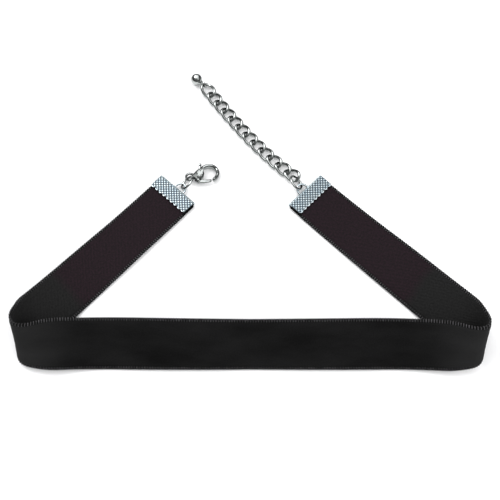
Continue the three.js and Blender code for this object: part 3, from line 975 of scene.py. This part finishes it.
@dataclass
class RibbonEnd:
    """A folded sheet end crimped on the ribbon, pressed with dimples, with a wire bail."""

    name: str
    line: Line
    inner: int
    length: float = 16.0
    depth: float = 5.8
    height: float = 1.9
    sheet: float = 0.4
    offset: float = 0.3
    teeth: int = 9
    tooth_depth: float = 0.5
    ribbon_gap: float = 1.3
    bump_pitch: float = 1.3
    row_pitch: float = 0.62
    relief: float = 0.14
    bail_half_width: float = 2.0
    bail_reach: float = 2.5
    bail_root: float = 1.05
    bail_rise: float = 0.45
    bail_wire: float = 0.7
    bail_sunk: float = 0.25
    bail_sides: int = 16
    stations: int = 200
    straight_points: int = 58
    bend_points: int = 16
    outward: Array = field(init=False)
    right: Array = field(init=False)
    origin: Array = field(init=False)

    def __post_init__(self) -> None:
        """Finds the clamp's frame at the end of its side of the ribbon, flat on the table."""
        ahead = self.line.along[-1] * np.array([1.0, 1.0, 0.0])
        self.outward = unit(ahead)
        self.right = np.cross(self.outward, UP)
        end = self.line.points[-1] * np.array([1.0, 1.0, 0.0])
        self.origin = end + self.outward * self.ribbon_gap

    def place(self, out: float, aside: float, height: float) -> Array:
        """A point out of the folded edge and to its right, looking outwards."""
        return self.origin + self.outward * out + self.right * aside + UP * height

    def heading(self) -> float:
        """The clamp's outward direction, in degrees from +X."""
        return math.degrees(math.atan2(self.outward[1], self.outward[0]))

    def point_of(self, lie: Lie) -> Array:
        """The middle of a loose piece that lies off this clamp."""
        return self.place(lie.out, lie.aside, lie.height)

    def frame_of(self, lie: Lie) -> Array:
        """The frame of a loose piece whose heading is counted from this clamp's."""
        return lying(self.point_of(lie), self.heading() + lie.heading, lie.pitch, lie.roll)

    def section(self, inset: float) -> tuple[Array, Array, Array, Array]:
        """The fold's section at an inset from its outside: y, z, and the way out of it.

        It runs from the upper mouth along the top, round the fold and back along the bottom.
        """
        radius = self.height / 2.0
        straight, bend = self.straight_points, self.bend_points
        top = np.linspace(-1.0, 0.0, straight)
        arc = np.linspace(math.pi / 2.0, -math.pi / 2.0, bend)[1:-1]
        y = np.concatenate([top, (radius - inset) * np.cos(arc), top[::-1]])
        z = np.concatenate([
            np.full(straight, self.height - inset),
            radius + (radius - inset) * np.sin(arc),
            np.full(straight, inset),
        ])
        n_y = np.concatenate([np.zeros(straight), np.cos(arc), np.zeros(straight)])
        n_z = np.concatenate([np.ones(straight), np.sin(arc), -np.ones(straight)])
        return y, z, n_y, n_z

    def folded_sheet(self) -> Surface:
        """The pressed sheet: the section carried along x, its mouth scalloped, its skin dimpled.

        The relief is cos(2 pi x / bump pitch) cos(pi y / row pitch): crowns and hollows in
        staggered rows. It fades out at the smooth rim by the fold and at the mouth.
        """
        radius = self.height / 2.0
        x = np.linspace(-self.length / 2.0, self.length / 2.0, self.stations)
        x = x - self.inner * self.offset
        start = -self.length / 2.0 - self.inner * self.offset
        pitch = self.length / self.teeth
        from_notch = np.abs((x - start + pitch / 2.0) % pitch - pitch / 2.0)
        notch = self.tooth_depth * np.clip(1.0 - from_notch / (0.45 * pitch), 0.0, 1.0)
        run = self.depth - radius - notch
        skins, marks = [], []
        for inset in (0.0, self.sheet):
            y, z, n_y, n_z = self.section(inset)
            straight = np.abs(n_z) > 0.999
            along_run = -radius + y[None] * run[:, None]
            stretched = np.where(straight[None], along_run, -radius + y[None])
            flat = np.broadcast_to(z[None], stretched.shape)
            wave = np.cos(2 * math.pi * (x[:, None] - start) / self.bump_pitch)
            wave = wave * np.cos(math.pi * stretched / self.row_pitch)
            rim = smooth_step(-stretched, 0.45, 0.85)
            mouth = 1.0 - smooth_step(-stretched, self.depth - 0.62, self.depth - 0.3)
            level = 0.5 + 0.5 * wave
            sunk = self.relief * (1.0 - level) * rim * mouth * (1.0 if inset == 0.0 else 0.0)
            points = np.stack([
                np.broadcast_to(x[:, None], stretched.shape),
                stretched - sunk * n_y[None],
                flat - sunk * n_z[None],
            ], axis=-1)
            skins.append(points.reshape(-1, 3))
            # The relief mark, 0 in a hollow and 1 on a crown or the smooth rim, is what the sheet
            # paints its shade and highlight from.
            marks.append((1.0 - (1.0 - level) * rim * mouth).ravel())
        rows, count = len(x), len(y)
        outer = grid_faces(rows, count)
        layer = rows * count
        inner = outer[:, ::-1] + layer
        across, down = np.arange(count - 1), np.arange(rows - 1) * count
        borders = [
            (across, 1), (across + layer - count, 1), (down, count), (down + count - 1, count),
        ]
        edges = [np.stack([a, a + to, a + to + layer, a + layer], axis=1) for a, to in borders]
        faces = np.vstack([outer, inner, *edges]).tolist()
        return Surface(np.vstack(skins), faces, marks={"relief": np.concatenate(marks)})

    def bail(self) -> Surface:
        """The wire arch: x = w cos a, y = root + reach sin a, rising as sin a."""
        angle = np.linspace(0.0, math.pi, 40)
        rise = np.sin(angle)
        root = -self.bail_sunk
        path = np.stack([
            self.bail_half_width * np.cos(angle),
            root + (self.bail_reach - root) * rise,
            self.bail_root + self.bail_rise * rise,
        ], axis=1)
        radius = self.bail_wire / 2.0
        wire = tube(path, radius, self.bail_sides, UP, closed=False)
        # The bail's relief mark paints a highlight along the wire's top and shade down its sides
        # and underside.
        over_middle = (wire.points[:, 2] - np.repeat(path[:, 2], self.bail_sides)) / radius
        wire.marks["relief"] = 0.12 + 0.88 * smooth_step(over_middle, 0.55, 0.92)
        return wire

    def build(self, shift: Array, node: str) -> None:
        """Makes the clamp with its bail."""
        frame = from_axes(self.right, self.outward, UP, self.origin + shift)
        whole = self.folded_sheet().joined(self.bail()).placed(frame)
        sheet = PressedSheet().material()
        make_piece(self.name, whole, [sheet], [node], sharp_degrees=40)


# ---------------------------------------------------------------- rings, chain and ball


@dataclass
class JumpRing:
    """A ring of round wire, cut through once where it was opened."""

    name: str
    frame: Array
    wire: float = 0.8
    diameter: float = 6.0
    cut_degrees: float = 1.2
    cut_at: float = 100.0
    stations: int = 73
    sides: int = 18

    def build(self, shift: Array, node: str, silver: bpy.types.Material) -> None:
        """Makes the ring: a circle of wire from one side of the cut round to the other."""
        radius = (self.diameter - self.wire) / 2.0
        start = math.radians(self.cut_at + self.cut_degrees / 2.0)
        sweep = 2.0 * math.pi - math.radians(self.cut_degrees)
        angle = start + np.linspace(0.0, sweep, self.stations)
        path = on_plane(np.stack([radius * np.cos(angle), radius * np.sin(angle)], axis=1))
        ring = tube(path, self.wire / 2.0, self.sides, UP, closed=False).placed(self.frame)
        make_piece(self.name, ring.placed(moved_by(shift)), [silver], [node])


@dataclass
class ExtenderChain:
    """The curb chain: twisted oval links, the first tipped up by its ring, the last by the ball."""

    start: Array
    count: int = 12
    wire: float = 1.1
    length: float = 6.7
    width: float = 5.2
    rise: float = 0.64
    pitch: float = 4.25
    far_heading: float = 125.8
    near_swing: float = 14.0
    first_lift: float = 0.37
    first_pitch: float = -9.8
    last_lift: float = 0.25
    last_pitch: float = 6.0
    stations: int = 72
    sides: int = 18

    def places(self) -> list[tuple[Array, float, float]]:
        """Each link's middle, heading and pitch, walked from the clamp's end."""
        left = np.linspace(1.0, 0.0, self.count)
        heading = self.far_heading + self.near_swing * left**2
        way = np.radians(heading)
        ahead = on_plane(np.stack([np.cos(way), np.sin(way)], axis=1))
        steps = (ahead[:-1] + ahead[1:]) * self.pitch / 2.0
        middle = self.start + np.vstack([np.zeros(3), np.cumsum(steps, axis=0)])
        pitch = np.zeros(self.count)
        middle[0, 2] += self.first_lift
        middle[-1, 2] += self.last_lift
        pitch[0], pitch[-1] = self.first_pitch, self.last_pitch
        return [(middle[i], float(heading[i]), float(pitch[i])) for i in range(self.count)]

    def link(self) -> Surface:
        """One link, a closed round wire: x = a cos t, y = b sin t, z = rise sin 2t."""
        t = full_turn(self.stations)
        path = np.stack([
            (self.length - self.wire) / 2.0 * np.cos(t),
            (self.width - self.wire) / 2.0 * np.sin(t),
            self.rise * np.sin(2.0 * t),
        ], axis=1)
        return tube(path, self.wire / 2.0, self.sides, UP, closed=True)

    def build(self, shift: Array, silver: bpy.types.Material) -> None:
        """Makes every link as a piece of its own."""
        for i, (middle, heading, pitch) in enumerate(self.places(), start=1):
            link = self.link().placed(lying(middle + shift, heading, pitch))
            node = f"chain_link_{i:02d}"
            make_piece(f"curb_link_{i:02d}", link, [silver], [node])


@dataclass
class BallDrop:
    """A plain ball with a short collar and a wire eye round the last link."""

    chain: ExtenderChain
    diameter: float = 4.1
    collar: float = 0.82
    collar_length: float = 0.35
    eye_wire: float = 0.6
    eye_radius: float = 1.15
    eye_sunk: float = 0.25
    swing: float = 15.0

    def reach(self) -> float:
        """From the ball's middle to the middle of its eye."""
        top = math.sqrt((self.diameter / 2.0) ** 2 - self.collar**2) + self.collar_length
        return top + self.eye_radius + self.eye_wire / 2.0 - self.eye_sunk

    def frame(self) -> Array:
        """The ball on the table, its axis up to the middle of its eye on the link's end wire."""
        middle, heading, pitch = self.chain.places()[-1]
        end = (self.chain.length - self.chain.wire) / 2.0
        tip, way = math.radians(pitch), math.radians(heading)
        flat = math.cos(tip)
        eye = middle + end * np.array([flat * math.cos(way), flat * math.sin(way), math.sin(tip)])
        radius = self.diameter / 2.0
        level = math.sqrt(self.reach() ** 2 - (radius - eye[2]) ** 2)
        bearing = math.radians(heading + self.swing)
        x, y = eye[0] + level * math.cos(bearing), eye[1] + level * math.sin(bearing)
        ball = np.array([x, y, radius])
        axis = unit(eye - ball)
        side = unit(np.cross(UP, axis))
        return from_axes(axis, side, np.cross(axis, side), ball)

    def build(self, shift: Array, silver: bpy.types.Material) -> None:
        """Makes the ball by turning its profile about the axis, and joins the eye to it."""
        radius = self.diameter / 2.0
        meet = math.acos(self.collar / radius) - 0.06
        angle = np.linspace(-math.pi / 2.0, meet, 40)
        sphere = np.stack([radius * np.cos(angle), radius * np.sin(angle)], axis=1)
        top = radius * math.sin(meet)
        neck = np.array([
            [self.collar + 0.02, top + 0.04], [self.collar, top + 0.10], [self.collar, top + 0.26],
            [self.collar - 0.06, top + 0.33], [self.collar - 0.16, top + 0.36], [0.0, top + 0.36],
        ])
        turned_ball = lathe(np.vstack([sphere, neck]), 48)
        x, y, z = np.eye(3)
        onto_x = from_axes(-z, y, x, np.zeros(3))
        around = full_turn(40)
        path = np.stack([
            self.reach() + self.eye_radius * np.cos(around),
            np.zeros_like(around),
            self.eye_radius * np.sin(around),
        ], axis=1)
        eye = tube(path, self.eye_wire / 2.0, 14, y, closed=True)
        frame = self.frame()
        frame[:3, 3] += shift
        whole = turned_ball.placed(onto_x).joined(eye).placed(frame)
        make_piece("ball_drop", whole, [silver], ["end_ball"])


# ---------------------------------------------------------------- clasp


@dataclass
class LobsterClasp:
    """The clasp: a cast body with a hook, and a sprung lever on a pin. x runs eye to nose."""

    frame: Array
    half_height: float = 1.08
    nose: tuple[float, float] = (7.0, 0.25)
    nose_outer: float = 3.65
    nose_inner: float = 2.3
    pivot: tuple[float, float] = (2.7, -2.0)
    eye_radius: float = 1.3
    eye_wire: float = 0.84
    slot_half: float = 0.62
    slot_radius: float = 1.25
    tab_angle: float = 74.0
    tab_reach: float = 6.25
    tab_width: float = 0.8
    gate_reach: float = 4.72
    gate_half_height: float = 0.42
    swing: float = 22.0
    slot_clearance: float = 0.22
    slot_far: float = 8.0
    slot_front: float = 2.9
    slot_margin: float = 34.0
    lead_points: int = 34
    hook_points: int = 60
    gate_points: int = 30
    body_sides: int = 36
    body_power: float = 0.86

    def around_nose(self, degrees: Array, radius: float) -> Array:
        """Points on a circle about the nose's middle, on the plane z = 0."""
        a = np.radians(degrees)
        x, y = self.nose[0] + radius * np.cos(a), self.nose[1] + radius * np.sin(a)
        return on_plane(np.stack([x, y], axis=1))

    def around_pivot(self, angle: Array, reach: Array | float) -> Array:
        """Points seen from above, at angles in radians and distances from the pivot."""
        way = np.stack([np.cos(angle), np.sin(angle)], axis=1)
        return np.array(self.pivot) + np.broadcast_to(reach, angle.shape)[:, None] * way

    def beside_tab(self, degrees: float, sign: float, reach: float) -> Array:
        """A point beside the tab's arm, half the slot's width from the arm's middle line.

        Args:
            degrees: the arm's angle.
            sign: 1 for the side to the left of the arm, -1 for the side to its right.
            reach: the distance from the pivot along the arm, in mm.

        Returns:
            The point seen from above.
        """
        a, half = math.radians(degrees), self.tab_width / 2.0 + self.slot_clearance
        along, left = np.array([math.cos(a), math.sin(a)]), np.array([-math.sin(a), math.cos(a)])
        return np.array(self.pivot) + along * reach + left * half * sign

    def body_blank(self) -> Surface:
        """The cast body before its slot: a bar between an outer edge line and an inner one.

        The edge lines pass through the key points of the shoulder and the throat, then follow
        two circles about the nose to the hook's tip, where the bar is rounded off.
        """
        shoulder = [
            (1.15, 0.75), (2.1, 1.65), (3.0, 2.28), (3.8, 2.75), (4.5, 3.12), (5.05, 3.38),
        ]
        throat = [
            (1.15, -0.75), (1.72, -2.2), (2.75, -3.0), (3.75, -2.1), (4.6, -1.28), (5.12, -0.2),
        ]
        along = np.linspace(0, 1, self.hook_points)
        outer_arc = np.linspace(112.0, -80.5, self.hook_points)
        inner_arc = np.interp(along, [0.0, 0.18, 1.0], [152.0, 118.0, -75.0])
        outer, inner = (
            np.vstack([on_plane(through(keys, self.lead_points)), self.around_nose(arc, radius)])
            for keys, arc, radius in (
                (shoulder, outer_arc, self.nose_outer), (throat, inner_arc, self.nose_inner),
            )
        )
        t = np.linspace(0.0, 1.0, len(outer))
        neck, taper = 0.62 + 0.38 * smooth_step(t, 0.0, 0.12), 1.0 - 0.10 * smooth_step(t, 0.4, 1.0)
        tip = rounded_off(t, 0.965, 0.036)
        height = self.half_height * neck * taper * tip
        return between_edges(*narrowed(outer, inner, tip), height, self.body_sides, self.body_power)

    def slot_outline(self) -> Array:
        """The slot seen from above: round the pivot, under the gate's swing and under the tab's.

        Each boundary point is a distance from the pivot at an angle; the tab's track keeps its
        sides parallel to the tab.
        """
        half = self.tab_width / 2.0 + self.slot_clearance
        near, far = math.sqrt(self.slot_radius**2 - half**2), self.slot_far
        shut, opened = self.tab_angle, self.tab_angle + self.swing
        gate = np.radians(np.linspace(-60.0, 26.0, 14))
        between = np.radians(np.linspace(27.0, shut - self.slot_margin, 3))
        back = np.radians(np.linspace(opened + self.slot_margin, 299.0, 22))
        track = np.array([
            self.beside_tab(shut, -1.0, near), self.beside_tab(shut, -1.0, far),
            self.beside_tab(opened, 1.0, far), self.beside_tab(opened, 1.0, near),
        ])
        return np.vstack([
            self.around_pivot(gate, np.minimum(far, self.slot_front / np.cos(gate))),
            self.around_pivot(between, self.slot_radius),
            track,
            self.around_pivot(back, self.slot_radius),
        ])

    def body(self) -> Surface:
        """The body with its slot cut, its eye and its pivot pin."""
        slotted = cut_away(self.body_blank(), slab(self.slot_outline(), self.slot_half))
        around = full_turn(56)
        path = on_plane(self.eye_radius * np.stack([np.cos(around), np.sin(around)], axis=1))
        eye = tube(path, self.eye_wire / 2.0, 18, UP, closed=True)
        top = self.half_height + 0.02
        head = np.array([
            [0.0, -top], [0.40, -top + 0.03], [0.50, -top + 0.10], [0.50, -0.8], [0.35, -0.8],
            [0.35, 0.8], [0.50, 0.8], [0.50, top - 0.10], [0.40, top - 0.03], [0.0, top],
        ])
        pin = lathe(head, 28).placed(moved_by(np.array([*self.pivot, 0.0])))
        return slotted.joined(eye).joined(pin)

    def lever(self) -> Surface:
        """The lever: gate bar, boss with its hole, arm through the window, and thumb knob."""
        px, py = self.pivot
        end = self.gate_reach
        upper = [
            (px + 0.2, py + 0.55), (px + 1.2, py + 0.2),
            (px + 2.6, py - 0.22), (px + end - 0.05, py - 0.3),
        ]
        lower = [
            (px + 0.2, py - 0.85), (px + 1.3, py - 1.2),
            (px + 2.8, py - 1.3), (px + end - 0.25, py - 1.3),
        ]
        edges = [on_plane(through(keys, self.gate_points)) for keys in (upper, lower)]
        tip = rounded_off(np.linspace(0.0, 1.0, self.gate_points), 0.95, 0.052)
        gate = between_edges(*narrowed(*edges, tip), self.gate_half_height * tip, 24, 0.6)
        boss_profile = np.array([
            [0.55, -0.34], [0.61, -0.40], [0.84, -0.40], [0.90, -0.34], [0.90, 0.34], [0.84, 0.40],
            [0.61, 0.40], [0.55, 0.34], [0.55, -0.34],
        ])
        boss = lathe(boss_profile, 32).placed(moved_by(np.array([px, py, 0.0])))
        reach = np.linspace(0.7, self.tab_reach + 0.1, 24)
        wide = np.interp(reach, [0.7, 3.0, self.tab_reach], [0.40, 0.34, 0.30])
        left = np.stack([reach, wide, 0 * reach], axis=1)
        right = np.stack([reach, -wide, 0 * reach], axis=1)
        arm = between_edges(left, right, np.full(24, 0.38), 20, 0.6)
        arm = arm.placed(lying(np.array([px, py, 0.0]), self.tab_angle))
        knob_profile = np.array([
            [0.0, -0.80], [0.26, -0.78], [0.42, -0.68], [0.50, -0.50], [0.50, 0.50], [0.42, 0.68],
            [0.26, 0.78], [0.0, 0.80],
        ])
        a = math.radians(self.tab_angle)
        x, y = px + self.tab_reach * math.cos(a), py + self.tab_reach * math.sin(a)
        knob = lathe(knob_profile, 24).placed(moved_by(np.array([x, y, 0.0])))
        return gate.joined(boss).joined(arm).joined(knob)

    def build(self, shift: Array, silver: bpy.types.Material) -> None:
        """Makes the body, and the lever that turns in it."""
        frame = self.frame.copy()
        frame[:3, 3] += shift
        casting, gate = self.body().placed(frame), self.lever().placed(frame)
        make_piece(
            "clasp_casting", casting, [silver], ["clasp_body"], sharp_degrees=38
        )
        make_piece(
            "clasp_gate", gate, [silver], ["clasp_lever"],
            body=Body.LEVER, sharp_degrees=40,
        )


# ---------------------------------------------------------------- room


@dataclass
class Room:
    """The pale table, the soft light and the camera."""

    elevation: float = 65.0
    distance: float = 330.0
    target: tuple[float, float, float] = (0.0, 48.0, 0.0)
    lens: float = 69.12
    shift_x: float = -0.002
    shift_y: float = -0.03
    table_half: float = 5.0
    table_drop: float = 0.00004
    sky_strength: float = 1.02
    sky_levels: tuple[tuple[float, float], ...] = (
        (0.0, 0.75), (0.02, 0.06), (0.30, 0.07), (0.48, 0.80), (0.72, 1.05), (1.0, 1.15),
    )
    lamp_size: float = 0.6
    lamps: tuple[tuple[str, tuple[float, float, float], float], ...] = (
        ("window", (-0.45, 0.35, 0.75), 5.0), ("fill", (0.5, -0.3, 0.6), 3.0),
    )

    def floor(self) -> None:
        """A wide pale table top just under the object."""
        mesh = bpy.data.meshes.new("floor")
        size, low = self.table_half, -self.table_drop
        corners = [(-size, -size, low), (size, -size, low), (size, size, low), (-size, size, low)]
        mesh.from_pydata(corners, [], [(0, 1, 2, 3)])
        nodes = Nodes("pale_table")
        shader = nodes.add("ShaderNodeBsdfPrincipled", roughness=0.8, specular_ior_level=0.2)
        tone = nodes.noise(nodes.add("ShaderNodeTexCoord"), "Object", 6.0, 2.0)
        colour = nodes.ramp(0.3, 0.7, (0.90, 0.90, 0.905), (0.925, 0.925, 0.925))
        nodes.link(tone, "Fac", colour, "Fac")
        nodes.link(colour, "Color", shader, "Base Color")
        mesh.materials.append(nodes.surface(shader))
        floor = bpy.data.objects.new("floor", mesh)
        bpy.context.scene.collection.objects.link(floor)

    def sky(self) -> None:
        """Even white light from above and a darker band near the horizon, for the metal to show."""
        world = bpy.data.worlds.new("soft_sky")
        bpy.context.scene.world = world
        world.use_nodes = True
        tree = world.node_tree
        tree.nodes.clear()
        output = tree.nodes.new("ShaderNodeOutputWorld")
        background = tree.nodes.new("ShaderNodeBackground")
        background.inputs["Strength"].default_value = self.sky_strength
        place = tree.nodes.new("ShaderNodeTexCoord")
        split = tree.nodes.new("ShaderNodeSeparateXYZ")
        ramp = tree.nodes.new("ShaderNodeValToRGB")
        stops = [(height, (level, level, level * 1.01)) for height, level in self.sky_levels]
        fill_ramp(ramp.color_ramp, stops)
        tree.links.new(place.outputs["Generated"], split.inputs["Vector"])
        tree.links.new(split.outputs["Z"], ramp.inputs["Fac"])
        tree.links.new(ramp.outputs["Color"], background.inputs["Color"])
        tree.links.new(background.outputs["Background"], output.inputs["Surface"])

    def lamp(self, name: str, place: tuple[float, float, float], power: float) -> None:
        """A square soft light that faces the middle of the object."""
        data = bpy.data.lights.new(name, "AREA")
        data.size = self.lamp_size
        data.energy = power
        lamp = bpy.data.objects.new(name, data)
        lamp.location = place
        away = -np.array(place)
        lamp.rotation_mode = "QUATERNION"
        lamp.rotation_quaternion = Vector(away).to_track_quat("-Z", "Y")
        bpy.context.scene.collection.objects.link(lamp)

    def camera(self, shift: Array) -> None:
        """The camera at the viewing angle, looking at the middle of the open choker."""
        data = bpy.data.cameras.new("view")
        data.lens = self.lens
        data.sensor_width = 36.0
        data.shift_x, data.shift_y = self.shift_x, self.shift_y
        data.clip_start, data.clip_end = 0.01, 10.0
        camera = bpy.data.objects.new("view", data)
        tilt = math.radians(self.elevation)
        back = np.array([0.0, -math.cos(tilt), math.sin(tilt)])
        place = (np.array(self.target) + shift + back * self.distance) * MM
        camera.location = place.tolist()
        camera.rotation_euler = (math.radians(90.0 - self.elevation), 0.0, 0.0)
        bpy.context.scene.collection.objects.link(camera)
        bpy.context.scene.camera = camera

    def build(self, shift: Array) -> None:
        """Makes the table, the lights and the camera."""
        self.floor()
        self.sky()
        for name, place, power in self.lamps:
            self.lamp(name, place, power)
        self.camera(shift)
        bpy.context.scene.view_settings.view_transform = "Standard"


# ---------------------------------------------------------------- the whole choker


def middle_of(node: str) -> Array:
    """The middle of a CAD node's box, in mm."""
    low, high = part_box(node)
    return (np.array(low) + np.array(high)) / 2.0 / MM


def main() -> None:
    """Loads the frame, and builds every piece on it."""
    logging.basicConfig(level=logging.INFO, format="%(name)s: %(message)s")
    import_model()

    ribbon = Ribbon()
    left = RibbonEnd("left_ribbon_end", ribbon.left, inner=1)
    right = RibbonEnd("right_ribbon_end", ribbon.right, inner=-1)
    chain = ExtenderChain(start=right.point_of(CHAIN_LIE))
    shift = middle_of("chain_link_06") - chain.places()[5][0]
    log.info("table to part frame, mm: %s", np.round(shift, 3).tolist())

    ribbon.build(shift)
    left.build(shift, "left_clamp")
    right.build(shift, "right_clamp")
    silver = PolishedSilver().material()
    clasp_ring, chain_ring = left.frame_of(CLASP_RING_LIE), right.frame_of(CHAIN_RING_LIE)
    JumpRing("clasp_jump_ring", clasp_ring, cut_at=80.0).build(shift, "clasp_ring", silver)
    JumpRing("chain_jump_ring", chain_ring, cut_at=250.0).build(shift, "chain_ring", silver)
    clasp = LobsterClasp(lying(left.point_of(CLASP_LIE), CLASP_HEADING, CLASP_PITCH))
    clasp.build(shift, CAST_SILVER.material())
    chain.build(shift, silver)
    BallDrop(chain).build(shift, silver)
    Room().build(shift)


if __name__ == "__main__":
    main()
